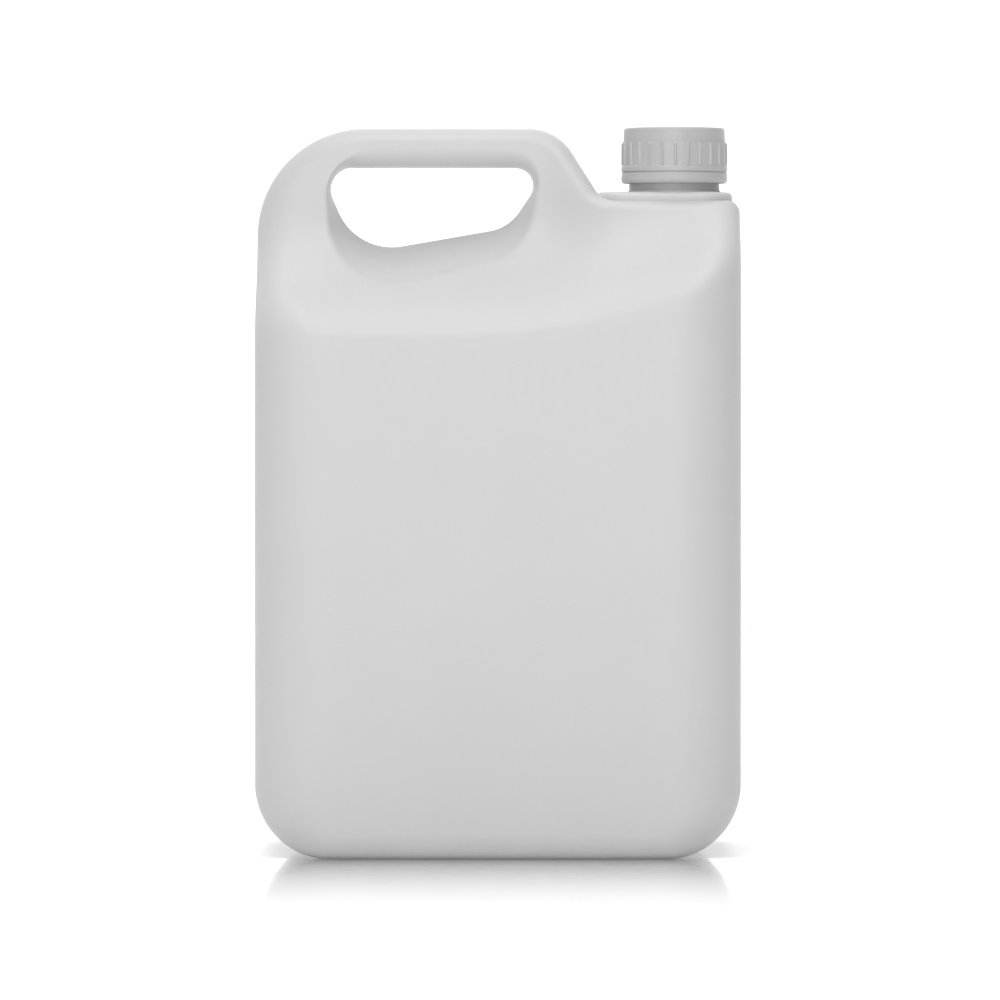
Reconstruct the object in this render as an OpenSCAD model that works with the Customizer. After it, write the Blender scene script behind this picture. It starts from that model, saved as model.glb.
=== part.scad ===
// Five litre blow-moulded jerrycan with a through handle, a threaded neck, a screw cap,
// its sealing liner and the tamper band that stays on the neck.
// X runs across the width, Y through the depth and Z up. The origin is the middle of the base.

/* [Body] */
// Width over the two sides
body_w = 190; // [180:1:205]
// Depth from the front face to the back face
body_d = 130; // [122:1:138]
// Height from the base to the top of the handle
body_h = 285.5; // [282:0.5:296]
// Thickness of the moulded wall
wall = 1.2; // [0.9:0.1:1.5]
// Radius of the upright edges of the lower body
side_edge_r = 26; // [20:0.5:27]
// Radius of the edge between the base and the front and back faces
base_edge_r = 11; // [8:0.5:14]
// Radius of the base corners, seen from the front
base_corner_r = 29; // [28:0.5:34]
// How far the middle of the base is domed up from the floor
base_dome = 2.5; // [1:0.5:4]
// Width of the flat band that the can stands on
foot_w = 9; // [6:0.5:14]

/* [Handle] */
// Depth of the handle bar
handle_d = 31; // [28:1:34]
// Height of the handle bar
bar_h = 15.4; // [14.6:0.2:17]
// Radius of the outer corner where the handle turns down into the side
handle_corner_r = 42.5; // [38:0.5:48]
// Depth-wise edge of the handle's upper outer corner
handle_side_w = 11; // [10:0.5:13]
// Distance from the neck's middle to where the handle's sloping end meets the line of its top
slope_gap = 46.6; // [44:0.1:48]
// Angle of the sloping end of the handle from the horizontal
slope_a = 58; // [55:0.5:62]
// Radius between the handle top and its sloping end
slope_top_r = 20; // [17:0.5:24]
// Radius at the foot of the sloping end
slope_foot_r = 9; // [6:0.5:11]

/* [Hand hole] */
// Distance from the side of the can to the hole's upper left corner
hole_side_gap = 24.3; // [23:0.1:26]
// How far the hole's upper right corner lies short of the handle's sloping end, along its top
hole_slope_gap = 3.3; // [2.8:0.1:5]
// How far the lower left corner lies inside the upper left one
hole_in_left = 14.9; // [13:0.1:17]
// How far the lower right corner lies inside the upper right one
hole_in_right = 15.4; // [13.5:0.1:18]
// Depth of the lower left corner under the bar
hole_depth = 34.1; // [32:0.1:36]
// Depth of the lower right corner under the bar
hole_depth_right = 23.7; // [22.5:0.1:25.5]
// Radius of the upper corner next to the side of the can
hole_top_left_r = 8.7; // [7:0.1:9.5]
// Radius of the upper corner next to the neck
hole_top_right_r = 7.1; // [6:0.1:7.6]
// Radius of the lower left corner
hole_low_left_r = 23; // [20:0.5:24]
// Radius of the lower right corner
hole_low_right_r = 17.8; // [15:0.1:19]
// Width of the rounded rim at the sides of the hand hole
rim_side_w = 5; // [4:0.1:5.4]
// Width of the rounded rim under the hand hole
rim_low_w = 19; // [16:0.5:21]

/* [Shoulder] */
// Height from the end of the front face, on the handle side, to the top of the handle
shoulder_drop = 82.5; // [79.5:0.5:89]
// How much higher the front face ends at the neck side
shoulder_rise = 24; // [16:1:28]
// Width over which the end of the front face rises towards the neck
rise_w = 115; // [105:1:125]
// Height over which the shoulder flares in to the handle
flare_h = 45; // [40:1:52]
// Softness of the bend between the front face and the shoulder
flare_soft = 9; // [6:0.5:12]
// Height from the deck around the neck to the top of the handle
deck_drop = 30.1; // [28.5:0.1:33]
// Depth of the deck around the neck
deck_d = 51; // [50:0.5:56]
// Width over which the handle's depth widens to the deck's
widen_w = 34; // [28:0.5:36]
// Distance from the neck's middle to where that widening ends
widen_gap = 21.7; // [20:0.1:24]
// Radius of the deck's front and back edges
deck_edge_r = 4; // [3:0.1:4.6]
// Radius of the deck's outer corner, seen from the front
deck_corner_r = 5; // [4.5:0.1:7]
// Radius of the upright edge under the deck
deck_side_w = 18; // [14:0.5:20]
// Height of the raised land that carries the neck
land_h = 4.9; // [3.8:0.1:5.2]
// Distance from the land to the side of the can
land_side_gap = 2.5; // [2:0.1:4]
// Width of the land from front to back
land_w = 41; // [40:0.5:42]
// Radius of the land's corners, seen from above
land_corner_r = 13; // [10:0.5:16]
// Rounding of the land's upper edge
land_edge_r = 1.6; // [1:0.1:2]

/* [Neck] */
// Distance from the neck's middle to the side of the can
neck_side = 25.3; // [24:0.1:26]
// Diameter of the neck under its thread
neck_d = 35.6; // [35:0.1:36]
// Height of the neck above the land
neck_h = 22.6; // [22.2:0.1:25]
// Diameter of the pouring bore
bore_d = 31.2; // [28:0.1:31.6]
// How far the thread stands out from the neck
thread_out = 1; // [0.8:0.05:1.1]
// Rise of the thread in one turn
pitch = 4.2; // [3.9:0.1:4.4]
// Number of turns of the thread
thread_turns = 1.5; // [1.1:0.05:1.6]
// Width of the thread at its root
thread_root_w = 1.7; // [1.4:0.1:1.8]
// Width of the thread at its crest
thread_crest_w = 0.8; // [0.6:0.1:1]
// How far the bead that holds the tamper band stands out from the neck
bead_out = 1.2; // [1:0.05:1.3]
// Height of the bead
bead_h = 1.4; // [1:0.1:1.6]
// Height from the land to the underside of the bead
bead_z = 4.8; // [4.7:0.1:5]

/* [Cap] */
// Diameter of the cap over its grip ribs
cap_d = 42; // [41.8:0.1:43.4]
// How far the plain top of the cap is set in from the crests of the ribs
cap_top_in = 1.1; // [0.7:0.05:1.3]
// Thickness of the cap's top plate
cap_top_t = 1.6; // [1.2:0.1:2.2]
// Radial height of the grip ribs
rib_out = 0.9; // [0.5:0.05:0.9]
// Width of a grip rib
rib_w = 1.1; // [0.8:0.1:1.6]
// Number of grip ribs
rib_count = 25; // [20:1:30]
// Height of the plain band above the ribs
plain_h = 5.5; // [4:0.1:6.5]
// Height of the flange under the ribs
flange_h = 2.2; // [1.6:0.1:2.8]
// Thickness of the sealing liner
liner_t = 1.2; // [0.8:0.1:1.6]
// Angle round the cap at which its thread starts, clear of the tamper band
thread_start = 150; // [140:5:180]

/* [Tamper band] */
// Height of the band
band_h = 4.1; // [3.7:0.1:4.3]
// Height of the slit between the band and the cap
slit_h = 0.5; // [0.4:0.1:0.7]
// Height of the band's inner lip, which hooks under the bead
lip_h = 1; // [0.8:0.1:1.1]
// Number of small bridges across the slit
bridge_count = 10; // [6:1:16]

/* [Clearances] */
// Gap between a thread's crest and the wall that it faces
thread_gap = 0.3; // [0.25:0.05:0.35]
// Gap between the tamper band and the neck, all round
band_gap = 0.25; // [0.2:0.05:0.3]
// Gap between the liner's edge and the cap's wall
liner_gap = 0.3; // [0.2:0.05:0.5]
// Gap between two faces that press on each other
seat_gap = 0.05; // [0.03:0.01:0.1]

/* [Hidden] */

// Places that follow from the sizes above.
bar_z = body_h - bar_h;
shoulder_z = body_h - shoulder_drop;
deck_z = body_h - deck_drop;
neck_x = body_w / 2 - neck_side;
slope_x = neck_x - slope_gap;
hole_left = body_w / 2 - hole_side_gap;
hole_right = slope_x - hole_slope_gap;
hole_low_left = hole_left - hole_in_left;
hole_low_right = hole_right - hole_in_right;
land_z = deck_z + land_h;
rim_z = land_z + neck_h;
neck_r = neck_d / 2;
bead_r = neck_r + bead_out;
skirt_r = neck_r + thread_out + thread_gap;
cap_r = cap_d / 2;
cap_top_r = cap_r - cap_top_in;
liner_z = rim_z + seat_gap;
roof_z = liner_z + liner_t + seat_gap;
cap_z = roof_z + cap_top_t;
bead_low = land_z + bead_z;
band_z = bead_low - band_gap - lip_h;
flange_z = band_z + band_h + slit_h;
half_d = body_d / 2;
neck_foot = shoulder_z + 0.6 * shoulder_rise;

// A closed outline with rounded corners: each corner is [x, z, radius, arc steps, points on
// the edge that follows]. A corner with no arc steps stays a single point.
function unit(v) = v / norm(v);
function corner(q, p, s) =
    p[3] == 0 ? [[p[0], p[1]]] :
    let (c = [p[0], p[1]], u = unit([q[0], q[1]] - c), w = unit([s[0], s[1]] - c),
         half = acos(max(-1, min(1, u * w))) / 2, m = c + unit(u + w) * p[2] / sin(half),
         a = atan2(u[1] * p[2] / tan(half) + c[1] - m[1], u[0] * p[2] / tan(half) + c[0] - m[0]),
         turn = (u[0] * w[1] - u[1] * w[0] < 0 ? 1 : -1) * (180 - 2 * half))
    [for (i = [0:p[3]]) m + p[2] * [cos(a + turn * i / p[3]), sin(a + turn * i / p[3])]];
function outline(v) =
    let (n = len(v), c = [for (i = [0:n - 1]) corner(v[(i + n - 1) % n], v[i], v[(i + 1) % n])])
    [for (i = [0:n - 1]) let (e = c[i][len(c[i]) - 1], f = c[(i + 1) % n][0], m = v[i][4])
        each concat(c[i], [for (j = [1:1:m]) e + (f - e) * j / (m + 1)])];

// Where the sloping end of the handle is at height z, set in by d.
function slope_at(z, d) = slope_x + (body_h - z) / tan(slope_a) - d / sin(slope_a);

// The outer outline of the can, set in by d.
function rim_out(d) = let (s = body_w / 2 - d, t = body_h - d, k = deck_z - d) outline([
    [-s, t, handle_corner_r - d, 8, 3], [-s, shoulder_z, 0, 0, 3],
    [-s, d, base_corner_r - d, 6, 4], [s, d, base_corner_r - d, 6, 3],
    [s, neck_foot, 0, 0, 1], [s, k, deck_corner_r - d, 2, 4],
    [slope_at(k, d), k, slope_foot_r + d, 3, 1], [slope_at(t, d), t, slope_top_r - d, 5, 5]]);
// The line at which the edge rounding has reached the front face.
bar_edge = 5.5;
slope_edge = 7;
rim_edge = let (s = body_w / 2 - side_edge_r, t = body_h - bar_edge, k = deck_z - deck_edge_r) outline([
    [-body_w / 2 + handle_side_w, t, handle_corner_r - 8.5, 8, 3], [-s - 5, shoulder_z, 0, 0, 3],
    [-s, base_edge_r, base_corner_r - 19, 6, 4], [s, base_edge_r, base_corner_r - 19, 6, 3],
    [s, neck_foot, 0, 0, 1], [body_w / 2 - deck_side_w, k, deck_corner_r - 1, 2, 4],
    [slope_at(k, slope_edge), k, slope_foot_r + 5, 3, 1],
    [slope_at(t, slope_edge), t, slope_top_r - 6, 5, 5]]);
STATIONS = len(rim_edge);

// How deep the edge rounding goes at each station of the outline.
function steps(list) = [for (p = list) each [for (i = [0:1:p[2] - 1]) p[0] + (p[1] - p[0]) * i / p[2]]];
edge_deep = steps([
    [14, 14, 8], [14, side_edge_r, 4], [side_edge_r, side_edge_r, 4],
    [side_edge_r, base_edge_r, 6], [base_edge_r, base_edge_r, 5], [base_edge_r, side_edge_r, 6],
    [side_edge_r, side_edge_r, 4], [side_edge_r, 18, 2], [18, deck_edge_r, 2], [deck_edge_r, deck_edge_r, 5],
    [deck_edge_r, 9, 3], [9, 11, 2], [11, 14, 5], [14, 14, 6]]);

// The hand hole, as a fine closed outline, and the points on it that face the stations.
function hole_line(v) = outline([for (c = v) [c[0], c[1], c[2], 12, 15]]);
hole_mid = [
    [-hole_left, bar_z, hole_top_left_r], [-hole_low_left, bar_z - hole_depth, hole_low_left_r],
    [hole_low_right, bar_z - hole_depth_right, hole_low_right_r], [hole_right, bar_z, hole_top_right_r]];
function hole_grow(d) = [for (i = [0:3]) let (c = hole_mid[i])
    [c[0] + d * [-1.7, -0.4, 0.1, 2.1][i], c[1] + d * [1, -1.3, -1.2, 1][i], c[2] + d]];
hole_rim = [
    [-hole_left + 3.7 - rim_side_w, bar_z + 7, 22],
    [-hole_low_left - 5.7 - rim_side_w, bar_z - hole_depth - rim_low_w - 1.5, 34],
    [hole_low_right + 7 + rim_side_w, bar_z - hole_depth_right - rim_low_w + 1.5, 20],
    [hole_right + rim_side_w - 4.5, bar_z + 7, 13]];
// Stations at which the hole's own corners begin and end.
MATCH = [[0, 0], [8, 12], [12, 30], [16, 36], [22, 41], [27, 52], [33, 58], [37, 61], [41, 64],
    [46, 68], [49, 73], [51, 81], [56, 97], [STATIONS, 112]];
function pick(line, i) = let (n = len(line), s = lookup(i, MATCH), a = floor(s), f = s - a)
    line[a % n] * (1 - f) + line[(a + 1) % n] * f;

// Half the depth of the can at (x, z): an upright face, then a flare that runs in to the handle.
function blend(a, b, t) = let (u = max(0, min(1, t))) a + (b - a) * u * u * (3 - 2 * u);
function foot_line(x) = shoulder_z + shoulder_rise * pow(max(0, x - body_w / 2 + rise_w) / rise_w, 2);
function soft_min(a, b, k) = min(a, b) - pow(max(k - abs(a - b), 0), 2) / (4 * k);
function deep(x, z) =
    let (top = blend(handle_d, deck_d, (x - neck_x + widen_gap + widen_w) / widen_w) / 2,
         u = (z - foot_line(x)) / flare_h,
         f = u < 0 ? half_d - 2 * u * (half_d - top) : top + (half_d - top) * pow(1 - min(1, u), 2))
    soft_min(half_d, f, flare_soft);
// The same, set in by the wall along the surface's own normal.
function deep_in(x, z, d) = d == 0 ? deep(x, z) :
    let (g = (deep(x, z + 0.5) - deep(x, z - 0.5)), s = (deep(x + 0.5, z) - deep(x - 0.5, z)))
    deep(x, z) - d * sqrt(1 + g * g + s * s);

// One section of the can, from the outline over the front face to the hole, as [x, y, z] points.
// d is the distance inside the outer surface, q the finer or coarser division.
function mid_steps(e, r) =
    let (g = [for (t = [0:0.05:1]) let (p = e + (r - e) * t) [p[1] - foot_line(p[0]), t]],
         c = min([for (p = g) p[0]]) > 0 ? 0.35 : max(0.15, min(0.85, lookup(0, g))),
         w = min(6 / max(1, abs(r[1] - e[1])), 0.4 * c, 0.4 * (1 - c)), a = c + w)
    [c * 0.45, c - w, c - w / 2, c, c + w / 2, a, a + (1 - a) * 0.2, a + (1 - a) * 0.42, a + (1 - a) * 0.7];
function dome(x, y, z) = let (w = max(0, 1 - pow(x / (body_w / 2 - base_corner_r), 2)),
    v = max(0, 1 - pow(y / (half_d - base_edge_r - foot_w), 2)))
    z > 4 ? 0 : base_dome * min(1, 2.2 * w) * min(1, 2.2 * v);
function section(o, e, r, a, ed, d, q, rf) =
    let (n = q > 1 ? 5 : 3, m = q > 1 ? 4 : 3, hw = deep_in(o[0], o[1], d), dd = min(ed - d, 0.92 * deep_in(e[0], e[1], d)),
         foot = 1 - foot_w / (half_d - base_edge_r),
         side = [for (f = [0, 0.55 * foot, foot]) let (y = f * (hw - dd)) [o[0], y, o[1] + dome(o[0], y, o[1])]],
         edge = [for (i = [0:n]) let (p = e + (o - e) * cos(90 * i / n))
             [p[0], deep_in(p[0], p[1], d) - dd * (1 - sin(90 * i / n)), p[1]]],
         mid = [for (t = mid_steps(e, r)) let (p = e + (r - e) * t) [p[0], deep_in(p[0], p[1], d), p[1]]],
         rim = [for (i = [m:-1:0]) let (p = r + (a - r) * cos(90 * i / m))
             [p[0], deep_in(p[0], p[1], d) * (1 - rf * (1 - sin(90 * i / m))), p[1]]])
    concat(side, edge, mid, rim, [[a[0], 0, a[1]]]);
// The closed shell: the half sections and their mirror images, station by station.
function shell(d, q) =
    let (o = rim_out(d), hm = hole_line(hole_grow(d)), hr = hole_line(hole_rim))
    [for (k = [0:STATIONS - 1])
        let (rf = lookup(k, [[0, 0.86], [8, 0.7], [12, 0.5], [16, 0.6], [22, 0.8], [27, 0.82], [37, 0.8],
                 [45, 0.7], [49, 0.5], [53, 0.6], [58, 0.86], [STATIONS, 0.86]]),
             s = section(o[k], rim_edge[k], pick(hr, k), pick(hm, k), edge_deep[k], d, q, rf), n = len(s))
        concat([for (p = s) [p[0], -p[1], p[2]]], [for (i = [n - 2:-1:1]) s[i]])];
module grid(g) {
    m = len(g);
    n = len(g[0]);
    polyhedron([for (r = g) each r], [for (i = [0:m - 1], j = [0:n - 1])
        let (k = (i + 1) % m, l = (j + 1) % n, a = i * n + j, b = k * n + j, c = k * n + l, e = i * n + l)
        each norm(g[i][j] - g[k][l]) < norm(g[k][j] - g[i][l]) ? [[a, c, b], [a, e, c]]
                                                               : [[a, e, b], [b, e, c]]]);
}

// A round post with a rounded upper edge, and the raised pad that four of them span, set in by d.
module post(r, z0, t) {
    e = land_edge_r;
    level = [[z0, 0], [t - e, 0], [t - 0.6 * e, 0.1 * e], [t - 0.2 * e, 0.45 * e], [t, e]];
    hull() for (k = [0:3]) translate([0, 0, level[k][0]])
        cylinder(r1 = r - level[k][1], r2 = r - level[k + 1][1], h = level[k + 1][0] - level[k][0], $fn = 20);
}
module land(d, z0) {
    x0 = slope_at(land_z, 0) - 1 + d;
    x1 = body_w / 2 - land_side_gap - d;
    w = land_w / 2 - d;
    r = land_corner_r - d;
    hull() {
        translate([x0 + r, w - r, 0]) post(r, z0, land_z - d);
        translate([x0 + r, r - w, 0]) post(r, z0, land_z - d);
        translate([x1 - r, w - r, 0]) post(r, z0, land_z - d);
        translate([x1 - r, r - w, 0]) post(r, z0, land_z - d);
    }
}

// A screw thread ridge with run-out ends: root radius r, standing out by out (inwards if negative),
// on the helix that passes height z at angle 0, and starting at angle a0.
module ridge(r, out, z, turns, a0) {
    n = ceil(turns * 26);
    sink = out > 0 ? -0.5 : 0.5;
    g = [for (i = [0:n]) let (a = a0 + 360 * turns * i / n, h = z + pitch * a / 360,
            f = max(0.04, min(1, min(i, n - i) / 5)), u = thread_root_w / 2, v = thread_crest_w / 2)
        [for (p = [[sink, -1.25 * u], [out * f, -v], [out * f, v], [sink, 1.25 * u]])
            [(r + p[0]) * cos(a), (r + p[0]) * sin(a), h + p[1]]]];
    flip = out < 0;
    polyhedron([for (s = g) each s], concat(
        [for (i = [0:n - 1], j = [0:3]) let (l = (j + 1) % 4, a = i * 4 + j, b = a + 4, c = i * 4 + 4 + l, e = i * 4 + l)
            each flip ? [[a, b, c], [a, c, e]] : [[a, c, b], [a, e, c]]],
        [for (j = [1:2]) flip ? [0, j, j + 1] : [0, j + 1, j]],
        [for (j = [1:2]) let (o = n * 4) flip ? [o, o + j + 1, o + j] : [o, o + j, o + j + 1]]));
}

module can_body() color("#e9ebea") union() {
    difference() {
        union() {
            grid(shell(0, 2));
            land(0, deck_z - wall - 0.5);
            translate([neck_x, 0, 0]) {
                rotate_extrude($fn = 48) polygon([[0, deck_z], [neck_r, deck_z], [neck_r, bead_low],
                    [bead_r, bead_low + 0.3], [bead_r, bead_low + 0.6 * bead_h], [neck_r, bead_low + bead_h],
                    [neck_r, rim_z - 0.6], [neck_r - 0.6, rim_z], [0, rim_z]]);
                ridge(neck_r, thread_out, bead_low + bead_h + thread_root_w * 1.5 + 1.3, thread_turns, 0);
            }
        }
        grid(shell(wall, 1));
        land(wall, deck_z - 3 * wall);
        translate([neck_x, 0, deck_z - 3 * wall]) cylinder(d = bore_d, h = neck_h + land_h + 9, $fn = 48);
    }
}

// The cap's outline from above in its ribbed zone: the ribs' crests, with their roots sunk in its wall.
function ribbed() = [for (i = [0:rib_count - 1]) let (a = 360 * i / rib_count - 90, s = 360 / rib_count,
        w = rib_w / cap_r * 90 / PI, r = cap_r - 1.4 * rib_out, c = cap_r - 0.06 * rib_out)
    each [[r, a - s / 2], [r, a - w * 1.7], [c - 0.3 * rib_out, a - w * 0.85], [c, a - w * 0.4],
          [c, a + w * 0.4], [c - 0.3 * rib_out, a + w * 0.85], [r, a + w * 1.7]]];
module screw_cap() color("#dfe1e0") translate([neck_x, 0, 0]) {
    difference() {
        union() {
            translate([0, 0, flange_z + 0.5 * flange_h])
                linear_extrude(cap_z - plain_h - flange_z - 0.5 * flange_h)
                    polygon([for (p = ribbed()) p[0] * [cos(p[1]), sin(p[1])]]);
            rotate_extrude($fn = 96) polygon([[0, flange_z], [cap_r - 0.3, flange_z], [cap_r, flange_z + 0.3],
                [cap_r, flange_z + flange_h - 0.2], [cap_r - rib_out, flange_z + flange_h],
                [cap_r - rib_out, cap_z - plain_h - 0.2], [cap_top_r + 0.2, cap_z - plain_h - 0.2],
                [cap_top_r, cap_z - 0.8], [cap_top_r - 0.25, cap_z - 0.25],
                [cap_top_r - 0.8, cap_z], [0, cap_z]]);
        }
        translate([0, 0, flange_z - 1]) cylinder(r = skirt_r, h = roof_z - flange_z + 1, $fn = 96);
    }
    ridge(skirt_r, -thread_out, bead_low + bead_h + thread_root_w / 2 + 0.85, thread_turns, thread_start);
}

module cap_liner() color("#f3f3ee") translate([neck_x, 0, liner_z])
    cylinder(r = skirt_r - liner_gap, h = liner_t, $fn = 96);

module tamper_band() color("#dfe1e0") translate([neck_x, 0, 0]) {
    t = band_z + band_h;
    rotate_extrude($fn = 96) polygon([[neck_r + band_gap, band_z], [cap_r - 0.9, band_z],
        [cap_r - 0.35, band_z + 0.6], [cap_r, band_z + 1.5], [cap_r - 0.1, t - 1.4], [cap_r - 0.3, t],
        [bead_r + band_gap, t], [bead_r + band_gap, band_z + lip_h + 0.2], [neck_r + band_gap, band_z + lip_h]]);
    for (i = [0:bridge_count - 1]) rotate(360 * (i + 0.5) / bridge_count)
        translate([cap_r - 1.1, -0.4, t - 0.2]) cube([0.6, 0.8, slit_h + 0.2 - seat_gap]);
}

can_body();
screw_cap();
cap_liner();
tamper_band();
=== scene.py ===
"""Looks for the plastic jerrycan: a fine can shell, a ribbed cap, a tamper band and a studio stage."""

from math import atan2, ceil, cos, pi, radians, sin, tan

import bmesh
import bpy
import numpy as np
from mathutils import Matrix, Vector


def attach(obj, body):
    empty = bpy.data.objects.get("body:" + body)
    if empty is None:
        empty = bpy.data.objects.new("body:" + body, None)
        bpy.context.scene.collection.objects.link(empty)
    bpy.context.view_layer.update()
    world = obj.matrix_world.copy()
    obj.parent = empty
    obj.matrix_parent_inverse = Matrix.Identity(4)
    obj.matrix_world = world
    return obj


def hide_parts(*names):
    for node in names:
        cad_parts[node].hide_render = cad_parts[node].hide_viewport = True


bl_info = {
    "name": "Plastic jerrycan",
    "version": (1, 0, 0),
    "blender": (4, 5, 0),
    "location": "View3D > Sidebar > Jerrycan",
    "description": "Builds the looks of a blow-moulded jerrycan around its packed frame",
    "category": "Object",
}

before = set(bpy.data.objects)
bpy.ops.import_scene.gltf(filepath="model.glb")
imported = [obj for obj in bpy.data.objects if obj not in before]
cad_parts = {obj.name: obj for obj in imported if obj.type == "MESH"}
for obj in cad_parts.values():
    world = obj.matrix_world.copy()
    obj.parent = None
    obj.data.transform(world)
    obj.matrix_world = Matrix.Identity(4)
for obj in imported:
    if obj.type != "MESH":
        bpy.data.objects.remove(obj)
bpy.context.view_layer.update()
MM = 0.001


def size(name, default, text, **more):
    return bpy.props.FloatProperty(name=name, description=text, default=default, **more)


def colour(name, default, text):
    return bpy.props.FloatVectorProperty(
        name=name, description=text, default=default, subtype="COLOR", size=3, min=0, max=1
    )


class JerrycanSizes(bpy.types.PropertyGroup):
    """Sizes in millimetres, the same as the solid model's."""

    body_w: size("Body width", 190, "Width over the two sides")
    body_d: size("Body depth", 130, "Depth from front to back")
    body_h: size("Body height", 285.5, "Height to the top of the handle")
    wall: size("Wall", 1.2, "Thickness of the moulded wall")
    side_edge_r: size("Upright edge", 26, "Radius of the upright edges")
    base_edge_r: size("Base edge", 11, "Radius of the edge under the front")
    base_corner_r: size("Base corner", 29, "Radius of the base corners from the front")
    base_dome: size("Base dome", 2.5, "Rise of the middle of the base")
    foot_w: size("Foot width", 9, "Width of the band that the can stands on")
    handle_d: size("Handle depth", 31, "Depth of the handle bar")
    bar_h: size("Handle height", 15.4, "Height of the handle bar")
    handle_corner_r: size("Handle corner", 42.5, "Radius of the outer corner where the handle turns down")
    slope_top_r: size("Slope top", 20, "Radius between the handle's top and its sloping end")
    slope_foot_r: size("Slope foot", 9, "Radius at the foot of the sloping end")
    deck_corner_r: size("Deck corner", 5, "Radius of the deck's outer corner, seen from the front")
    deck_z: size("Deck height", 256.8, "Height of the deck around the neck")
    deck_d: size("Deck depth", 51, "Depth of the deck around the neck")
    land_h: size("Land height", 3.5, "Height of the raised land under the neck")
    shoulder_z: size("Shoulder height", 203, "Height at which the front face ends")
    shoulder_rise: size("Shoulder rise", 24, "Rise of the shoulder towards the neck")
    flare_h: size("Flare height", 45, "Height over which the shoulder flares in")
    shoulder_lift: size("Shoulder lift", 6.5, "Height of the middle of the shoulder's bend over its lower end")
    flare_soft: size("Shoulder softness", 20, "Softness of the bend at the shoulder")
    neck_x: size("Neck place", 69.7, "Distance of the neck from the middle")
    neck_d: size("Neck diameter", 35.6, "Diameter of the neck under its thread")
    neck_h: size("Neck height", 22.6, "Height of the neck above the land")
    bore_d: size("Bore", 31.2, "Diameter of the pouring bore")
    cap_d: size("Cap diameter", 42, "Diameter over the ribs")
    cap_top_d: size("Cap top", 39.8, "Diameter of the plain top")


class JerrycanLook(bpy.types.PropertyGroup):
    """Colours and finishes."""

    shell: colour("Shell", (0.63, 0.63, 0.63), "Colour of the natural polyethylene shell")
    cap: colour("Cap", (0.51, 0.51, 0.51), "Colour of the cap and the tamper band")
    liner: colour("Liner", (0.82, 0.82, 0.79), "Colour of the sealing liner")
    floor: colour("Floor", (0.93, 0.93, 0.93), "Colour of the studio floor")
    shell_rough: size("Shell roughness", 0.42, "Roughness of the shell", min=0, max=1)
    cap_rough: size("Cap roughness", 0.38, "Roughness of the cap", min=0, max=1)


def sizes():
    return bpy.context.scene.jerrycan_sizes


def look():
    return bpy.context.scene.jerrycan_look


# Shader helpers


class Wire:
    """A shader socket. An expression on wires adds the Math nodes that work it out."""

    def __init__(self, finish, socket):
        self.finish, self.socket = finish, socket

    def _do(self, operation, *values):
        return self.finish.node("ShaderNodeMath", {"operation": operation}, dict(enumerate(values)))[0]

    def __add__(self, b):
        return self._do("ADD", self, b)

    def __sub__(self, b):
        return self._do("SUBTRACT", self, b)

    def __mul__(self, b):
        return self._do("MULTIPLY", self, b)

    def __truediv__(self, b):
        return self._do("DIVIDE", self, b)

    def __pow__(self, b):
        return self._do("POWER", self, b)

    def __rsub__(self, a):
        return self._do("SUBTRACT", a, self)

    __radd__, __rmul__ = __add__, __mul__

    def near(self, value, width):
        """1 where the wire is within width of value, falling smoothly to 0 outside."""
        gap = self._do("ABSOLUTE", self - value)
        return self.finish.ramp(gap / width, (0.5, 1), (1.0, 0))

    def between(self, low, high):
        """0 below low and 1 above high, smoothly."""
        return self.finish.node(
            "ShaderNodeMapRange",
            {"interpolation_type": "SMOOTHSTEP"},
            {"Value": self, "From Min": low, "From Max": high, "To Min": 0.0, "To Max": 1.0},
        )[0]


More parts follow.
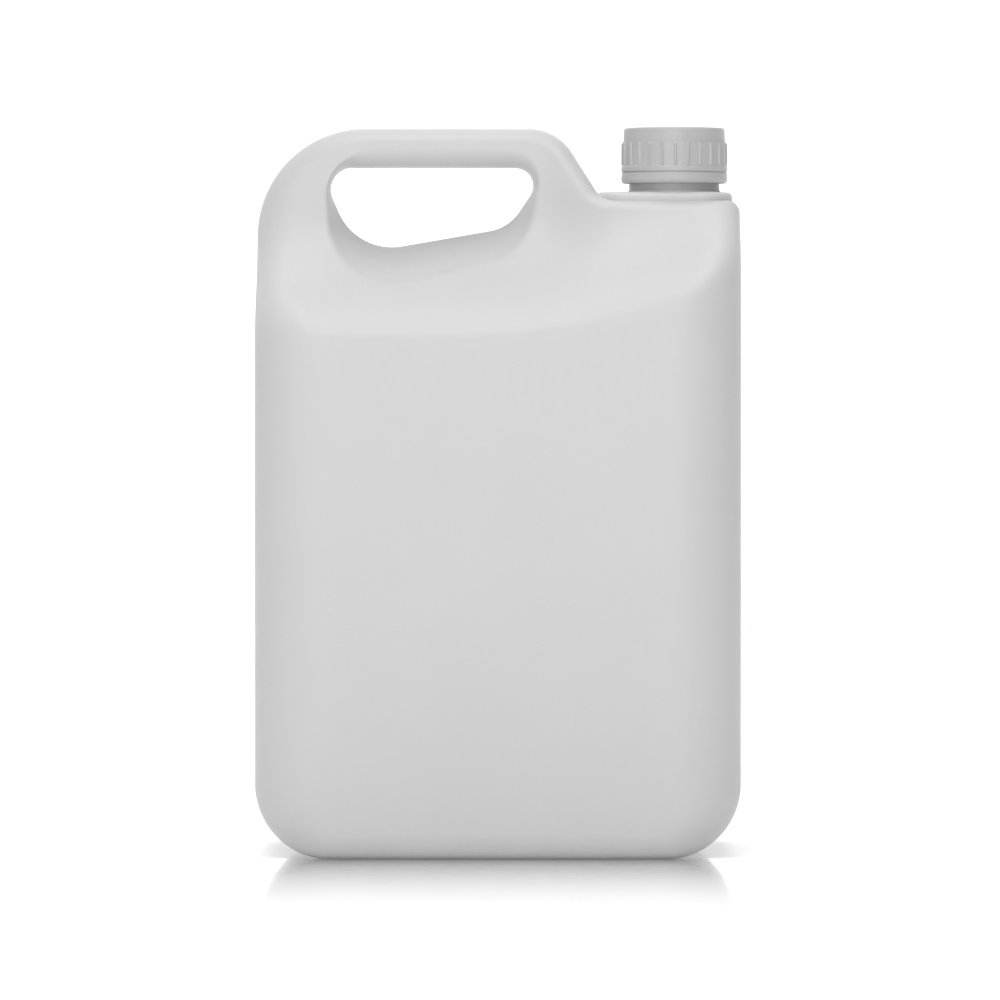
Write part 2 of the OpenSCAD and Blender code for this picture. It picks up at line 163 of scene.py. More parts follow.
class Finish:
    """A node material that is built up from expressions."""

    def __init__(self, name):
        self.material = bpy.data.materials.new(name)
        self.material.use_nodes = True
        self.nodes, self.links = self.material.node_tree.nodes, self.material.node_tree.links
        self.nodes.clear()

    def node(self, kind, settings=None, values=None):
        n = self.nodes.new(kind)
        for key, value in (settings or {}).items():
            if key == "stops":
                ramp = n.color_ramp
                for i, (place, level) in enumerate(value):
                    stop = ramp.elements[i] if i < len(ramp.elements) else ramp.elements.new(place)
                    stop.position = place
                    stop.color = (level, level, level, 1) if isinstance(level, (int, float)) else (*level, 1)
            else:
                setattr(n, key, value)
        for key, value in (values or {}).items():
            if isinstance(value, Wire):
                self.links.new(value.socket, n.inputs[key])
            else:
                n.inputs[key].default_value = value
        return [Wire(self, s) for s in n.outputs if s.enabled]

    def ramp(self, wire, *stops):
        return self.node("ShaderNodeValToRGB", {"stops": stops}, {"Fac": wire})[0]

    def place(self):
        """Object coordinates in millimetres, as three wires and the vector."""
        v = self.node("ShaderNodeTexCoord")[3]
        mm = self.node("ShaderNodeVectorMath", {"operation": "SCALE"}, {0: v, "Scale": 1000.0})[0]
        return [*self.node("ShaderNodeSeparateXYZ", None, {0: mm}), mm]

    def noise(self, vector, scale, detail=3.0, rough=0.5, stretch=None):
        if stretch:
            vector = self.node("ShaderNodeVectorMath", {"operation": "MULTIPLY"}, {0: vector, 1: stretch})[0]
        values = {"Vector": vector, "Scale": scale, "Detail": detail, "Roughness": rough}
        return self.node("ShaderNodeTexNoise", None, values)[0]

    def mix(self, amount, a, b):
        first = (*a, 1) if isinstance(a, tuple) else a
        return self.node("ShaderNodeMix", {"data_type": "RGBA"}, {0: amount, 6: first, 7: (*b, 1)})[0]

    def close(self, surface, bump=None, depth=0.0001, **sockets):
        """Ends the material in a Principled shader with the given sockets."""
        values = {key.replace("_", " "): value for key, value in sockets.items()}
        values["Base Color"] = surface
        if bump is not None:
            values["Normal"] = self.node(
                "ShaderNodeBump", None, {"Strength": 1.0, "Distance": depth, "Height": bump}
            )[0]
        shader = self.node("ShaderNodeBsdfPrincipled", None, values)[0]
        self.node("ShaderNodeOutputMaterial", None, {0: shader})
        return self.material


def tone(rgb, k):
    return tuple(max(0.0, min(1.0, c * k)) for c in rgb)


def shell_finish():
    """Natural polyethylene: a soft gloss, a faint cloudiness, a fine grain, the mould's parting line and painted shade
    on the neck under the cap.
    """
    f = Finish("can_polyethylene")
    x, y, z, v = f.place()
    base = tuple(look().shell)
    cloud = f.noise(v, 0.018, 3.0, 0.55)
    fine = f.noise(v, 1.6, 2.0, 0.6)
    streak = f.noise(v, 0.05, 4.0, 0.6, (1.0, 1.0, 0.12))
    seam = y.near(0.0, 0.55)
    surface = f.mix(cloud, tone(base, 0.97), tone(base, 1.02))
    surface = f.mix(seam * 0.25, surface, tone(base, 0.8))
    s = sizes()
    # Painted shade: the neck above the land is darkened where the cap and the tamper band shade it.
    away = (x - s.neck_x) ** 2.0 + y * y
    neck = z.between(s.deck_z + s.land_h, s.deck_z + s.land_h + 1) * (1 - away.between(380.0, 420.0))
    surface = f.mix(neck * 0.85, surface, tone(base, 0.62))
    rough = look().shell_rough - 0.05 + cloud * 0.05 + streak * 0.05 + fine * 0.02
    height = fine * 0.12 + streak * 0.5 + seam * 0.9
    return f.close(
        surface, height, 0.00012, Roughness=rough, IOR=1.5, Specular_IOR_Level=0.5,
        Subsurface_Weight=0.15, Subsurface_Radius=(1.0, 1.0, 1.0), Subsurface_Scale=0.003,
    )


def cap_finish(name="cap_polyethylene", lift=1.0):
    f = Finish(name)
    x, y, z, v = f.place()
    base = tone(tuple(look().cap), lift)
    cloud = f.noise(v, 0.06, 3.0, 0.5)
    fine = f.noise(v, 2.2, 2.0, 0.6)
    ring = f.noise(v, 0.4, 2.0, 0.5, (0.05, 0.05, 1.0))
    surface = f.mix(cloud, tone(base, 0.97), tone(base, 1.02))
    rough = look().cap_rough - 0.03 + cloud * 0.04 + fine * 0.03
    return f.close(
        surface, fine * 0.15 + ring * 0.3, 0.00008, Roughness=rough, IOR=1.5,
        Subsurface_Weight=0.15, Subsurface_Radius=(1.0, 1.0, 1.0), Subsurface_Scale=0.002,
    )


def liner_finish():
    f = Finish("liner_foam")
    x, y, z, v = f.place()
    base = tuple(look().liner)
    cell = f.noise(v, 1.2, 3.0, 0.6)
    cloud = f.noise(v, 0.08, 2.0, 0.5)
    surface = f.mix(cloud, tone(base, 0.95), tone(base, 1.02))
    return f.close(surface, cell, 0.00012, Roughness=0.55 + cell * 0.12)


# Shape helpers


def corner(q, p, s, steps):
    """The arc that rounds corner p between its neighbours q and s."""
    c = np.array(p[:2], float)
    if not p[3]:
        return [c]
    u, w = np.array(q[:2]) - c, np.array(s[:2]) - c
    u, w = u / np.linalg.norm(u), w / np.linalg.norm(w)
    half = np.arccos(np.clip(u @ w, -1, 1)) / 2
    m = c + (u + w) / np.linalg.norm(u + w) * p[2] / sin(half)
    start = c + u * p[2] / tan(half) - m
    a = atan2(start[1], start[0])
    turn = (1 if u[0] * w[1] - u[1] * w[0] < 0 else -1) * (pi - 2 * half)
    n = p[3] * steps
    return [m + p[2] * np.array([cos(a + turn * i / n), sin(a + turn * i / n)]) for i in range(n + 1)]


def outline(corners, steps=1):
    """A closed outline from [x, z, radius, arc steps, points on the next edge], each split into steps."""
    n = len(corners)
    arcs = [corner(corners[i - 1], corners[i], corners[(i + 1) % n], steps) for i in range(n)]
    out = []
    for i in range(n):
        out += arcs[i]
        e, f = arcs[i][-1], arcs[(i + 1) % n][0]
        m = (corners[i][4] + 1) * steps
        out += [e + (f - e) * j / m for j in range(1, m)]
    return np.array(out)


def table(pairs, k):
    return np.interp(k, [p[0] for p in pairs], [p[1] for p in pairs])


def soften(values, width):
    """Smooths a closed row of values along its stations."""
    n = len(values)
    reach = int(3 * width)
    w = np.exp(-0.5 * (np.arange(-reach, reach + 1) / width) ** 2)
    w /= w.sum()
    around = np.take(values, np.arange(-reach, n + reach) % n, axis=0)
    return np.array([np.tensordot(w, around[i : i + 2 * reach + 1], 1) for i in range(n)])


def blend(a, b, t):
    t = np.clip(t, 0, 1)
    return a + (b - a) * t * t * (3 - 2 * t)


class CanShape:
    """The can's surface as sections that run from its outline over the front face to the hand hole."""

    # Place of the handle's sloping end at the height of its top, and its angle
    SLOPE_X, SLOPE_A = 23.1, radians(58)
    # The hand hole's corners: place across and radius
    HOLE = ((-70.7, 8.7), (-55.8, 23), (4.4, 17.8), (19.8, 7.1))
    # Stations k on the outline and the points of the hole's outline that they run to. From 0 at the handle's
    # outer corner, 12 is the left shoulder, 16 to 22 and 27 to 33 the base corners, 37 the right shoulder,
    # 39 to 41 the deck's corner, 46 to 49 the foot of the sloping end and 51 to 56 its top.
    MATCH = ((0, 0), (8, 12), (12, 30), (16, 36), (22, 41), (27, 52), (33, 58), (37, 61), (41, 64),
             (46, 68), (49, 73), (51, 81), (56, 97), (62, 112))

    def __init__(self, steps, set_in=0.0):
        self.s, self.steps, self.d = sizes(), steps, set_in
        s, d = self.s, set_in
        self.bar_z = s.body_h - s.bar_h
        self.side = side = s.body_w / 2
        top, deck, base_r = s.body_h, s.deck_z, s.base_corner_r
        self.foot = foot = s.shoulder_z + 0.6 * s.shoulder_rise
        self.outer, whole = self.front_line(d), self.front_line(0)
        edge = side - s.side_edge_r
        inner = outline([
            (-side + 11, top - 5.5, 34, 8, 3),
            (-edge - 5, s.shoulder_z, 0, 0, 3),
            (-edge, s.base_edge_r, base_r - 19, 6, 4),
            (edge, s.base_edge_r, base_r - 19, 6, 3),
            (edge, foot, 0, 0, 1),
            (side - 18, deck - 4, 4, 2, 4),
            (self.slope(deck - 4, 7), deck - 4, 14, 3, 1),
            (self.slope(top - 5.5, 7), top - 5.5, 14, 5, 5),
        ], steps)
        self.edge = whole + soften(inner - whole, 1.2 * steps)
        k = np.arange(len(self.outer)) / steps
        for sign, first, last, rise_z, slim in ((-1, 8.5, 15.5, 200, 12), (1, 33.5, 39.5, 212, 14.5)):
            place = sign * (side - blend(s.side_edge_r, slim, (self.edge[:, 1] - rise_z) / 26))
            w = blend(0, 1, (k - first + 1) / 2) * blend(0, 1, (last + 1 - k) / 2)
            self.edge[:, 0] += (place - self.edge[:, 0]) * w
        e, b = s.side_edge_r, s.base_edge_r
        low = ((0, e), (16, e), (22, b), (27, b), (33, e), (62, e))
        high = ((0, 14), (8, 14), (9, 17), (10, 21), (12, 25), (33, 26), (37, 24), (39, 17), (41, 6), (46, 4),
                (49, 9), (51, 11), (56, 14), (62, 14))
        self.low_edge, self.high_edge = (soften(table(v, k), 0.8 * steps) for v in (low, high))
        self.round = table(((0, 1), (3, 0.7), (7, 0), (50, 0), (55, 1), (62, 1)), k)
        turns = table(self.MATCH, k)
        turns = turns + soften(turns - k * 112 / 62, 0.6 * steps) - (turns - k * 112 / 62)
        grow = np.array([(-1.7, 1.0), (-0.4, -1.3), (0.1, -1.2), (2.1, 1.0)]) * d
        low = (0, 34.1, 23.7, 0)
        mid = [(x + g[0], self.bar_z - low[i] + g[1], r + d, 12, 15)
               for i, ((x, r), g) in enumerate(zip(self.HOLE, grow))]
        lip = [(-69.5, self.bar_z + 7, 20, 12, 15), (-67, self.bar_z - 54.6, 27, 12, 15),
               (14.6, self.bar_z - 34.4, 24, 12, 15), (18.5, self.bar_z + 7, 13, 12, 15)]
        self.hole = self.pick(outline(mid, 4), turns)
        self.lip = self.pick(outline(lip, 4), turns)

    def front_line(self, d):
        """The can's outline from the front, set in by d."""
        s, side, top, deck = self.s, self.side, self.s.body_h, self.s.deck_z
        return outline([
            (-side + d, top - d, s.handle_corner_r - d, 8, 3),
            (-side + d, s.shoulder_z, 0, 0, 3),
            (-side + d, d, s.base_corner_r - d, 6, 4),
            (side - d, d, s.base_corner_r - d, 6, 3),
            (side - d, self.foot, 0, 0, 1),
            (side - d, deck - d, s.deck_corner_r - d, 2, 4),
            (self.slope(deck - d, d), deck - d, s.slope_foot_r + d, 3, 1),
            (self.slope(top - d, d), top - d, s.slope_top_r - d, 5, 5),
        ], self.steps)

    def slope(self, z, d):
        """Where the handle's sloping end, set in by d, lies at height z."""
        return self.SLOPE_X + (self.s.body_h - z) / tan(self.SLOPE_A) - d / sin(self.SLOPE_A)

    @staticmethod
    def pick(line, turns):
        n = len(line)
        at = np.mod(turns * n / 112, n)
        i = at.astype(int)
        f = (at - i)[:, None]
        return line[i % n] * (1 - f) + line[(i + 1) % n] * f

    def foot_line(self, x):
        """The middle of the bend between the front face and the shoulder."""
        s = self.s
        rise = s.shoulder_rise * (np.maximum(0, x + 20) / (s.body_w / 2 + 20)) ** 2
        return s.shoulder_z + s.shoulder_lift + rise

    def depth(self, x, z, low=0.0, high=0.0):
        """Half the depth at (x, z): an upright face, then a flare in to the handle or deck, each set back."""
        s = self.s
        face = s.body_d / 2
        top = blend(s.handle_d, s.deck_d, (x - 14) / 34) / 2
        u = (z - self.foot_line(x)) / (s.flare_h - blend(0, 6, (x - 10) / 40))
        rise = (face - top) * (1 - np.clip(u, 0, 1)) ** 2
        flare = np.where(u < 0, face - 2 * u * (face - top), top + rise) - high
        face, k = face - low, s.flare_soft
        return np.minimum(face, flare) - np.maximum(k - abs(face - flare), 0) ** 2 / (4 * k)

    def depth_at(self, x, z, low=0.0, high=0.0):
        h = self.depth(x, z, low, high)
        if not self.d:
            return h
        g = self.depth(x, z + 0.5) - self.depth(x, z - 0.5)
        f = self.depth(x + 0.5, z) - self.depth(x - 0.5, z)
        return np.maximum(h - self.d * np.sqrt(1 + g * g + f * f), 0.3)

    def waist(self):
        """The line between edge and hole where the mesh turns. Under the hole it follows the shoulder."""
        k = np.arange(len(self.edge)) / self.steps
        share = table(((0, 0.4), (9, 0.4), (36, 0.12), (42, 0.2), (50, 0.4)), k)
        line = self.edge + (self.lip - self.edge) * share[:, None]
        x = table(((8, -70), (12, -67), (16, -60), (22, -47), (27, 25), (33, 46), (36, 57), (38, 63)), k)
        low = np.stack([x, self.foot_line(x) - 11], 1)
        w = (blend(0, 1, (k - 8.5) / 3.5) * blend(0, 1, (39.5 - k) / 3))[:, None]
        return soften(line * (1 - w) + low * w, 0.8 * self.steps)

    @staticmethod
    def bulge(reach):
        """1 over the middle of the base, falling to 0 where reach is 1."""
        return blend(0, 1, 2.2 - 2.2 * reach**2)

    def grid(self, edge_n, flat_n, mid_n, rim_n, side_n):
        """Sections round the can, each from its side over the front to the hand hole and back behind."""
        s, d = self.s, self.d
        o, e, r, a = self.outer, self.edge, self.lip, self.hole
        foot_x, foot_y = s.body_w / 2 - s.base_corner_r, s.body_d / 2 - s.base_edge_r - s.foot_w
        high = np.minimum(self.high_edge, 0.92 * self.depth(*e.T))
        wall = self.depth_at(*o.T, self.low_edge, high)
        rows = []
        for f in np.linspace(0, 1, side_n, endpoint=False):
            dome = self.bulge(o[:, 0] / foot_x) * self.bulge(wall * f / foot_y)
            rows.append((o[:, 0], wall * f, o[:, 1] + s.base_dome * dome * (o[:, 1] < 4)))
        for t in np.linspace(0, pi / 2, edge_n + 1):
            p = e + (o - e) * cos(t)
            back = 1 - sin(t)
            rows.append((p[:, 0], self.depth_at(*p.T, self.low_edge * back, high * back), p[:, 1]))
        w = self.waist()
        for t in np.linspace(0, 1, flat_n + 1)[1:]:
            p = e + (w - e) * t
            rows.append((p[:, 0], self.depth_at(*p.T), p[:, 1]))
        for t in np.linspace(0, 1, mid_n + 1)[1:-1]:
            p = w + (r - w) * t
            rows.append((p[:, 0], self.depth_at(*p.T), p[:, 1]))
        span, deep = np.linalg.norm(a - r, axis=1), self.depth(*r.T)
        bend = np.minimum(2.5, 0.6 * span) / span
        m = np.minimum(0.5, bend * span / np.hypot(span * (1 - bend), deep))
        for i in range(rim_n + 4):
            t = pi / 2 * (1 - min(1, i / rim_n))
            oval, oval_y = cos(t), (1 - 0.55 * (1 - sin(t))) * (1 - max(0, i - rim_n) / 3)
            v = min(1, i / 6)
            flat, flat_y = 2 * v * (1 - v) * bend + v * v * (bend + (1 - bend) * m), 1 - v * v * m
            v = max(0, i - 6) / (rim_n - 3)
            flat, flat_y = flat + (1 - flat) * v, flat_y * (1 - v)
            t, y = flat + (oval - flat) * self.round, flat_y + (oval_y - flat_y) * self.round
            p = r + (a - r) * t[:, None]
            rows.append((p[:, 0], self.depth_at(*p.T) * y, p[:, 1]))
        half = np.array(rows).transpose(2, 0, 1)
        return np.concatenate([half * (1, -1, 1), half[:, -2:0:-1]], 1)


def grid_mesh(name, rows, flip=False, closed=True):
    """A mesh from rows of points, each row closed, and the rows closed into a ring where asked."""
    m, n = rows.shape[:2]
    i, j = np.meshgrid(np.arange(m if closed else m - 1), np.arange(n), indexing="ij")
    a, b = i * n + j, (i + 1) % m * n + j
    c, e = (i + 1) % m * n + (j + 1) % n, i * n + (j + 1) % n
    faces = np.stack([a, b, c, e] if not flip else [a, e, c, b], -1).reshape(-1, 4)
    mesh = bpy.data.meshes.new(name)
    mesh.from_pydata((rows.reshape(-1, 3) * MM).tolist(), [], faces.tolist())
    return mesh


def capped(name, rows, flip=False):
    """A closed solid from open-ended rows: the two end rows are closed with fans."""
    mesh = grid_mesh(name, rows, flip, closed=False)
    bm = bmesh.new()
    bm.from_mesh(mesh)
    ends = [e for e in bm.edges if e.is_boundary]
    bmesh.ops.holes_fill(bm, edges=ends, sides=0)
    bmesh.ops.recalc_face_normals(bm, faces=bm.faces)
    bm.to_mesh(mesh)
    bm.free()
    return mesh


def revolve(name, profile, x=0.0, n=128):
    """A closed solid of revolution from a profile of (radius, height) that starts and ends on the axis."""
    bm = bmesh.new()
    rings = []
    for r, z in profile:
        if r < 1e-6:
            rings.append([bm.verts.new((x * MM, 0, z * MM))])
        else:
            turns = [2 * pi * i / n for i in range(n)]
            rings.append([bm.verts.new(((x + r * cos(a)) * MM, r * sin(a) * MM, z * MM)) for a in turns])
    for p, q in zip(rings, rings[1:] + ([rings[0]] if len(rings[0]) > 1 else [])):
        for i in range(n):
            j = (i + 1) % n
            face = [p[i % len(p)], p[j % len(p)], q[j % len(q)], q[i % len(q)]]
            face = list(dict.fromkeys(face))
            if len(face) > 2:
                bm.faces.new(face)
    bmesh.ops.recalc_face_normals(bm, faces=bm.faces)
    mesh = bpy.data.meshes.new(name)
    bm.to_mesh(mesh)
    bm.free()
    return mesh


def ridge_mesh(name, r, out, z, turns, x, start=0.0, pitch=4.2, per_turn=90):
    """A helical thread ridge with run-out ends: a closed solid sunk half a millimetre into its wall."""
    n = ceil(turns * per_turn)
    sink = -0.5 if out > 0 else 0.5
    rows = []
    for i in range(n + 1):
        a = start + 2 * pi * turns * i / n
        f = max(0.04, min(1.0, min(i, n - i) / (per_turn / 6)))
        h = z + pitch * a / (2 * pi)
        tip = out * f
        sect = [(sink, -1.06), (tip * 0.8, -0.62), (tip, -0.38), (tip, 0.38), (tip * 0.8, 0.62), (sink, 1.06)]
        rows.append([(x + (r + p) * cos(a), (r + p) * sin(a), h + q) for p, q in sect])
    return capped(name, np.array(rows))


def thing(name, mesh):
    obj = bpy.data.objects.new(name, mesh)
    bpy.context.scene.collection.objects.link(obj)
    return obj


def baked(obj):
    """Applies an object's modifiers to its mesh."""
    graph = bpy.context.evaluated_depsgraph_get()
    mesh = bpy.data.meshes.new_from_object(obj.evaluated_get(graph))
    obj.modifiers.clear()
    old, obj.data = obj.data, mesh
    mesh.name = obj.name
    bpy.data.meshes.remove(old)
    return obj


def combine(obj, operation, *tools):
    """Joins tools to the object or cuts them from it, and removes the tools."""
    for t in tools:
        other = thing("tool", t)
        m = obj.modifiers.new("combine", "BOOLEAN")
        m.operation, m.object, m.solver = operation, other, "MANIFOLD"
        before = len(obj.data.vertices)
        baked(obj)
        bpy.data.objects.remove(other)
        if len(obj.data.vertices) < 8:
            raise RuntimeError(f"{operation} on {obj.name} left too little of {before} vertices")
    return obj


def smooth(obj, angle=32):
    """Smooth shading with sharp edges where faces meet at more than the angle."""
    mesh = obj.data
    bm = bmesh.new()
    bm.from_mesh(mesh)
    for e in bm.edges:
        e.smooth = len(e.link_faces) == 2 and e.calc_face_angle(0) < radians(angle)
    for f in bm.faces:
        f.smooth = True
    bm.to_mesh(mesh)
    bm.free()
    return obj


def dress(obj, body, slot, material, *nodes):
    obj.data.materials.clear()
    obj.data.materials.append(material)
    if nodes:
        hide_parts(*nodes)
    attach(obj, body)


def land_rows(set_in, low):
    """The raised land as stacked rounded outlines, from its foot to its rounded upper edge."""
    s = sizes()
    top = s.deck_z + s.land_h
    x0 = CanShape.SLOPE_X + (s.body_h - top) / tan(CanShape.SLOPE_A) - 1 + set_in
    x1, w, r, e = s.body_w / 2 - 2.5 - set_in, 20.5 - set_in, 13 - set_in, 2.2
    t = top - set_in
    levels = [(low, 0), (t - e, 0)]
    levels += [(t - e + e * sin(a), e * (1 - cos(a))) for a in np.linspace(0.2, pi / 2, 6)]
    rows = []
    for z, c in levels:
        q = outline([(x0 + c, w - c, r - c, 16, 6), (x0 + c, c - w, r - c, 16, 6),
                     (x1 - c, c - w, r - c, 16, 6), (x1 - c, w - c, r - c, 16, 6)])
        rows.append([(x, y, z) for x, y in q])
    return np.array(rows)


class JERRYCAN_OT_shell(bpy.types.Operator):
    """Builds the blow-moulded can: the hollow shell, its land and its threaded neck"""

    bl_idname = "jerrycan.shell"
    bl_label = "Can shell"

    def execute(self, context):
        s = sizes()
        land = s.deck_z + s.land_h
        rim, bead, r = land + s.neck_h, land + 4.8, s.neck_d / 2
        out = CanShape(6).grid(10, 10, 32, 10, 8)
        can = thing("can_shell", grid_mesh("can_shell", out))
        neck = [(0, s.deck_z), (r + 1.4, s.deck_z), (r + 1.4, land), (r + 0.9, land + 0.15),
                (r + 0.35, land + 0.5), (r, land + 1.2), (r, bead), (r + 1.0, bead + 0.1),
                (r + 1.2, bead + 0.35), (r + 1.2, bead + 0.8), (r + 1.0, bead + 1.1), (r, bead + 1.4),
                (r, rim - 0.7), (r - 0.2, rim - 0.2), (r - 0.7, rim), (0, rim)]
        combine(can, "UNION", capped("land", land_rows(0, s.deck_z - 1.7)), revolve("neck", neck, s.neck_x),
                ridge_mesh("thread", r, 1.0, bead + 1.4 + 2.55 + 1.3, 1.5, s.neck_x))
        hollow = CanShape(3, s.wall).grid(6, 6, 16, 6, 4)
        foot = s.deck_z - 3.6
        bore = [(0, foot), (s.bore_d / 2, foot), (s.bore_d / 2, rim + 1), (0, rim + 1)]
        combine(can, "DIFFERENCE", grid_mesh("hollow", hollow),
                capped("land_hollow", land_rows(s.wall, foot)), revolve("bore", bore, s.neck_x))
        smooth(can)
        dress(can, "can", "can_body", shell_finish(), "can_body")
        return {"FINISHED"}


def cap_radius(a, z, high, wall, crest, ribs=25):
    """Radius of the ribbed zone at angle a and height z."""
    step = 2 * pi / ribs
    off = (a + pi / 2 + step / 2) % step - step / 2
    arc = abs(off) * crest
    tip = blend(1, 0, (high - z) / 1.3)
    rib = blend(1, 0, (arc - 0.1 - 0.25 * tip) / 0.6)
    fade = min(1, (high - z) / 0.85)
    return wall + (crest - wall) * rib * fade


class JERRYCAN_OT_cap(bpy.types.Operator):
    """Builds the screw cap with its grip ribs, flange and inner thread"""

    bl_idname = "jerrycan.cap"
    bl_label = "Screw cap"

    def execute(self, context):
        s = sizes()
        land = s.deck_z + s.land_h
        bead = land + 4.8
        low = bead - 0.25 - 1.0 + 4.1 + 0.5
        rim = land + s.neck_h
        roof, top = rim + 1.3, rim + 2.9
        inner, crest = s.neck_d / 2 + 1.3, s.cap_d / 2
        wall, plain = crest - 0.55, s.cap_top_d / 2
        n = 25 * 32
        rib_low, rib_high = low + 2.5, top - 5.7
        flange = [(0.3, low), (0, low + 0.3), (0, low + 1.8), (0.06, low + 1.9), (0.42, low + 2.38), (0.5, low + 2.46)]
        levels = [[(crest - drop, z)] * n for drop, z in flange]
        plain_z, tip_z = np.linspace(rib_low + 0.3, rib_high - 1.6, 7), np.linspace(rib_high - 1.3, rib_high, 8)
        for z in (rib_low, *plain_z, *tip_z):
            levels.append([(cap_radius(2 * pi * i / n, z, rib_high, wall, crest), z) for i in range(n)])
        for rr, z in [(wall, rib_high + 0.05), (plain + 0.22, rib_high + 0.15), (plain + 0.2, rib_high + 0.6),
                      (plain + 0.05, top - 1.5), (plain, top - 0.9), (plain - 0.1, top - 0.5),
                      (plain - 0.35, top - 0.18), (plain - 0.8, top), (plain - 3, top),
                      (plain - 3.3, top - 0.08), (plain * 0.5, top - 0.1),
                      (2.0, top - 0.12), (1.6, top - 0.2), (0.6, top - 0.2)]:
            levels.append([(rr, z)] * n)
        pts = np.array([[(s.neck_x + r * cos(2 * pi * i / n), r * sin(2 * pi * i / n), z)
                         for i, (r, z) in enumerate(level)] for level in levels])
        cap = thing("cap_ribbed", capped("cap_ribbed", pts))
        hollow = [(0, low - 1), (inner + 0.25, low - 1), (inner + 0.25, low), (inner, low + 0.3),
                  (inner, roof - 0.4),
                  (inner - 0.4, roof), (0, roof)]
        combine(cap, "DIFFERENCE", revolve("cap_hollow", hollow, s.neck_x))
        combine(cap, "UNION", ridge_mesh("cap_thread", inner, -1.0, bead + 3.1, 1.5, s.neck_x, radians(150)))
        smooth(cap, 30)
        dress(cap, "cap", "screw_cap", cap_finish(), "screw_cap")
        return {"FINISHED"}


class JERRYCAN_OT_band(bpy.types.Operator):
    """Builds the tamper band and its broken bridges"""

    bl_idname = "jerrycan.band"
    bl_label = "Tamper band"

    def execute(self, context):
        s = sizes()
        land = s.deck_z + s.land_h
        low = land + 4.8 - 0.25 - 1.0
        t, r, c = low + 4.1, s.neck_d / 2, s.cap_d / 2
        profile = [(r + 0.25, low + 0.15), (r + 0.4, low), (c - 1.1, low), (c - 0.7, low + 0.12),
                   (c - 0.4, low + 0.45), (c - 0.12, low + 1.0), (c, low + 1.5), (c, low + 2.1),
                   (c - 0.08, low + 2.8), (c - 0.14, t - 0.35), (c - 0.2, t - 0.05), (c - 0.38, t + 0.1),
                   (c - 0.42, t + 0.3), (c - 0.5, t + 0.42), (r + 1.6, t + 0.42), (r + 1.45, t + 0.3),
                   (r + 1.45, low + 1.3),
                   (r + 1.2, low + 1.05), (r + 0.25, low + 1.0)]
        band = thing("tamper_ring", revolve("tamper_ring", profile, s.neck_x, 200))
        bm = bmesh.new()
        bm.from_mesh(band.data)
        for i in range(10):
            a = 2 * pi * (i + 0.5) / 10
            rows = []
            for k, (w, z) in enumerate([(0.55, t - 0.2), (0.4, t + 0.05), (0.3, t + 0.3), (0.22, t + 0.45)]):
                box = [(c - 1.1, -w), (c - 0.5 - 0.1 * k / 3, -w), (c - 0.5 - 0.1 * k / 3, w), (c - 1.1, w)]
                turned = [(s.neck_x + p * cos(a) - q * sin(a), p * sin(a) + q * cos(a)) for p, q in box]
                rows.append([bm.verts.new((u * MM, v * MM, z * MM)) for u, v in turned])
            for p, q in zip(rows, rows[1:]):
                for j in range(4):
                    bm.faces.new([p[j], p[(j + 1) % 4], q[(j + 1) % 4], q[j]])
            bm.faces.new(rows[0][::-1])
            bm.faces.new(rows[-1])
        bm.to_mesh(band.data)
        bm.free()
        smooth(band, 35)
        dress(band, "can", "tamper_band", cap_finish("band_polyethylene"), "tamper_band")
        return {"FINISHED"}


class JERRYCAN_OT_liner(bpy.types.Operator):
    """Gives the sealing liner its foam finish"""

    bl_idname = "jerrycan.liner"
    bl_label = "Cap liner"

    def execute(self, context):
        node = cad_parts["cap_liner"]
        node.data.materials.clear()
        node.data.materials.append(liner_finish())
        return {"FINISHED"}


def light(name, place, aim, power, breadth):
    """A soft box of the given breadth in metres that looks at its aim."""
    data = bpy.data.lights.new(name, "AREA")
    data.energy = power
    data.shape, data.size, data.size_y = "RECTANGLE", *breadth
    obj = bpy.data.objects.new(name, data)
    obj.location = place
    obj.rotation_euler = (Vector(aim) - Vector(place)).to_track_quat("-Z", "Y").to_euler()
    bpy.context.scene.collection.objects.link(obj)
    return obj


CAN_MIDDLE = (0, 0, 0.15)
# Name, place and aim in metres, power in watts, breadth in metres
SOFT_BOXES = (
    ("front_softbox", (0, -3.0, 0.5), CAN_MIDDLE, 21, (1.4, 1.4)),
    ("high_softbox", (-0.1, -2.4, 2.2), CAN_MIDDLE, 8, (1.4, 1.4)),
    ("left_softbox", (-1.6, -2.6, 1.0), CAN_MIDDLE, 6.5, (1.4, 1.4)),
    ("upper_softbox", (-0.1, -1.4, 2.4), CAN_MIDDLE, 18, (1.4, 1.4)),
    ("top_softbox", (-0.1, 0, 2.2), CAN_MIDDLE, 14, (1.4, 1.4)),
    ("back_wash", (0, 0.6, 1.6), (0, 2.2, 0.6), 22, (3.0, 1.0)),
)


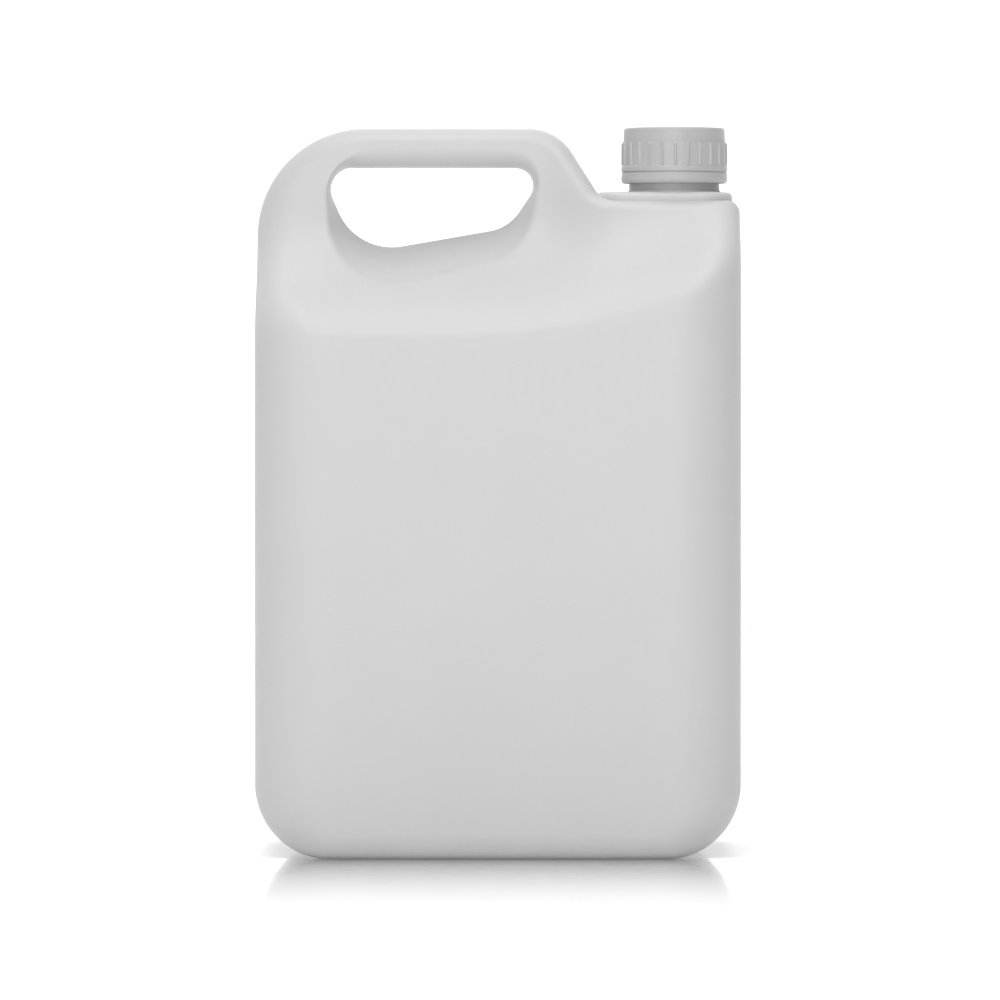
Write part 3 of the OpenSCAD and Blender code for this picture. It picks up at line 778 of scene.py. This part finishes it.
class JERRYCAN_OT_stage(bpy.types.Operator):
    """Sets the pale floor, the soft studio light and the camera"""

    bl_idname = "jerrycan.stage"
    bl_label = "Studio stage"

    def execute(self, context):
        mesh = bpy.data.meshes.new("studio_floor")
        mesh.from_pydata([(-4, -3.5, 0), (4, -3.5, 0), (4, 5, 0), (-4, 5, 0)], [], [(0, 1, 2, 3)])
        floor = thing("studio_floor", mesh)
        fin = Finish("floor_white")
        x, y, z, v = fin.place()
        base = tuple(look().floor)
        cloud = fin.noise(v, 0.004, 2.0, 0.5)
        # Painted darkening: in a patch in front of the can the floor turns to a mirror and its even glow is taken out,
        # so the patch is darker than the rest of the floor; the reflection in it is rendered.
        before = y.between(-330.0, -62.0) * (1 - y.between(-62.0, -40.0))
        gloss = before * (1 - (x * x).between(90.0**2, 130.0**2)) * 0.8
        mesh.materials.append(fin.close(
            fin.mix(cloud, tone(base, 0.995), tone(base, 1.005)), Roughness=0.05 + cloud * 0.02, Metallic=gloss,
            IOR=1.01, Emission_Color=fin.mix(gloss, (1.0, 1.0, 1.0), (0.0, 0.0, 0.0)), Emission_Strength=0.2))
        wall_mesh = bpy.data.meshes.new("studio_wall")
        wall_mesh.from_pydata([(-4, 2.2, 0), (4, 2.2, 0), (4, 2.2, 4), (-4, 2.2, 4)], [], [(0, 1, 2, 3)])
        wall = thing("studio_wall", wall_mesh)
        fin = Finish("wall_white")
        values = {"Base Color": (*base, 1), "Roughness": 0.7, "Specular IOR Level": 0.1,
                  "Emission Color": (1, 1, 1, 1), "Emission Strength": 0.2}
        white = fin.node("ShaderNodeBsdfPrincipled", None, values)[0]
        clear = fin.node("ShaderNodeBsdfTransparent")[0]
        behind = fin.node("ShaderNodeNewGeometry")[6]
        one_sided = fin.node("ShaderNodeMixShader", None, {0: behind, 1: white, 2: clear})[0]
        fin.node("ShaderNodeOutputMaterial", None, {0: one_sided})
        wall_mesh.materials.append(fin.material)
        world = bpy.data.worlds.new("studio_air")
        world.use_nodes = True
        world.node_tree.nodes["Background"].inputs[0].default_value = (1, 1, 1, 1)
        seen = world.node_tree.nodes.new("ShaderNodeLightPath").outputs["Is Camera Ray"]
        glow = world.node_tree.nodes.new("ShaderNodeMath")
        glow.operation = "MULTIPLY_ADD"
        glow.inputs[1].default_value, glow.inputs[2].default_value = 0.83, 0.21
        world.node_tree.links.new(seen, glow.inputs[0])
        world.node_tree.links.new(glow.outputs[0], world.node_tree.nodes["Background"].inputs[1])
        context.scene.world = world
        context.scene.view_settings.view_transform = "Standard"
        for name, place, aim, power, breadth in SOFT_BOXES:
            light(name, place, aim, power, breadth)
        data = bpy.data.cameras.new("photo_view")
        data.lens, data.sensor_width = 272.9, 36
        data.clip_end = 50
        cam = bpy.data.objects.new("photo_view", data)
        cam.location = (0.0008, -3.0, 0.2)
        cam.rotation_euler = (radians(90 - 1.17), 0, 0)
        context.scene.collection.objects.link(cam)
        context.scene.camera = cam
        return {"FINISHED"}


class JERRYCAN_PT_panel(bpy.types.Panel):
    """Lists the jerrycan's pieces"""

    bl_idname = "JERRYCAN_PT_panel"
    bl_label = "Jerrycan"
    bl_space_type = "VIEW_3D"
    bl_region_type = "UI"
    bl_category = "Jerrycan"

    def draw(self, context):
        for group in (context.scene.jerrycan_sizes, context.scene.jerrycan_look):
            for key in group.bl_rna.properties.keys():
                if key not in ("rna_type", "name"):
                    self.layout.prop(group, key)
        for op in OPERATORS:
            self.layout.operator(op.bl_idname)


OPERATORS = (JERRYCAN_OT_shell, JERRYCAN_OT_cap, JERRYCAN_OT_band, JERRYCAN_OT_liner, JERRYCAN_OT_stage)
CLASSES = (JerrycanSizes, JerrycanLook, *OPERATORS, JERRYCAN_PT_panel)


def register():
    for c in CLASSES:
        bpy.utils.register_class(c)
    bpy.types.Scene.jerrycan_sizes = bpy.props.PointerProperty(type=JerrycanSizes)
    bpy.types.Scene.jerrycan_look = bpy.props.PointerProperty(type=JerrycanLook)


def unregister():
    del bpy.types.Scene.jerrycan_look
    del bpy.types.Scene.jerrycan_sizes
    for c in reversed(CLASSES):
        bpy.utils.unregister_class(c)


def main():
    register()
    bpy.ops.jerrycan.stage()
    bpy.ops.jerrycan.shell()
    bpy.ops.jerrycan.cap()
    bpy.ops.jerrycan.band()
    bpy.ops.jerrycan.liner()


if __name__ == "__main__":
    main()
